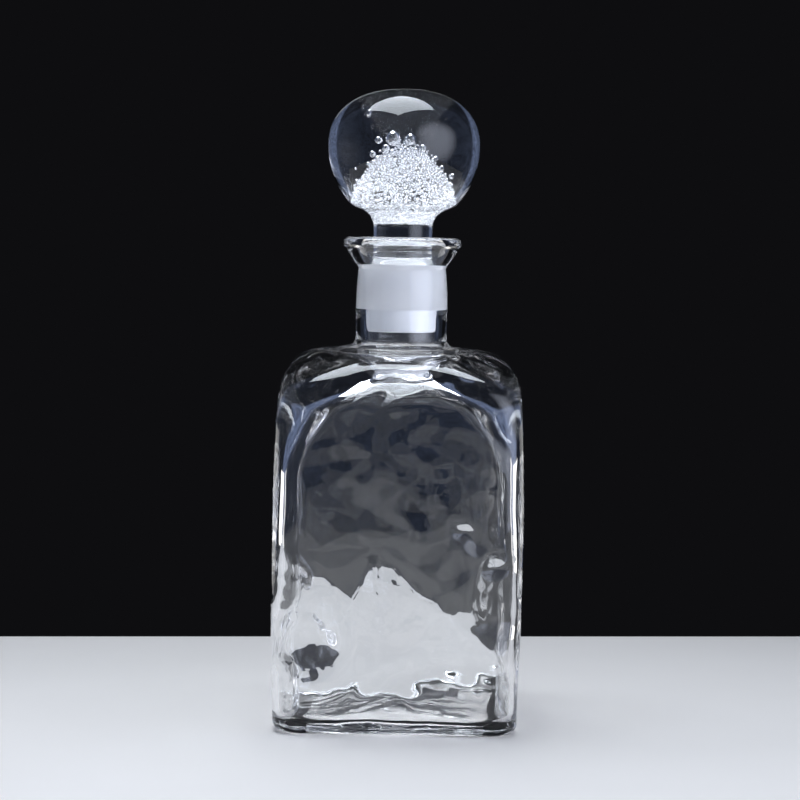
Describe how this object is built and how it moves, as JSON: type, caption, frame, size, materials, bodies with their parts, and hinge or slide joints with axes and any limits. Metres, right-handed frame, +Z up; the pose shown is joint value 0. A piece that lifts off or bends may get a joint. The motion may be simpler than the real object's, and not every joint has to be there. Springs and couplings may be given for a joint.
{
  "type": "glass decanter with ball stopper",
  "caption": "Square clear glass decanter with a flared lip and a solid ball stopper, filled with a mound of air bubbles, ground into its neck.",
  "frame": {"origin": "middle of the foot, on the surface the decanter stands on", "axes": "+Z up along the axis of neck and stopper; +X to the right and -Y towards the viewer, square to two faces of the body"},
  "size_m": [0.0972, 0.0972, 0.251],
  "materials": {
    "bottle_glass": "polished clear glass, slightly wavy, with a fine-ground socket in the neck",
    "stopper_glass": "polished clear glass with air bubbles inside and a fine-ground plug"
  },
  "bodies": {
    "bottle": {"bottle": "bottle_glass"},
    "stopper": {"stopper": "stopper_glass"}
  },
  "joints": [
    {"name": "stopper_lift", "type": "slide", "parent": "bottle", "child": "stopper", "axis": [0, 0, 1], "range_m": [0, 0.08]}
  ]
}
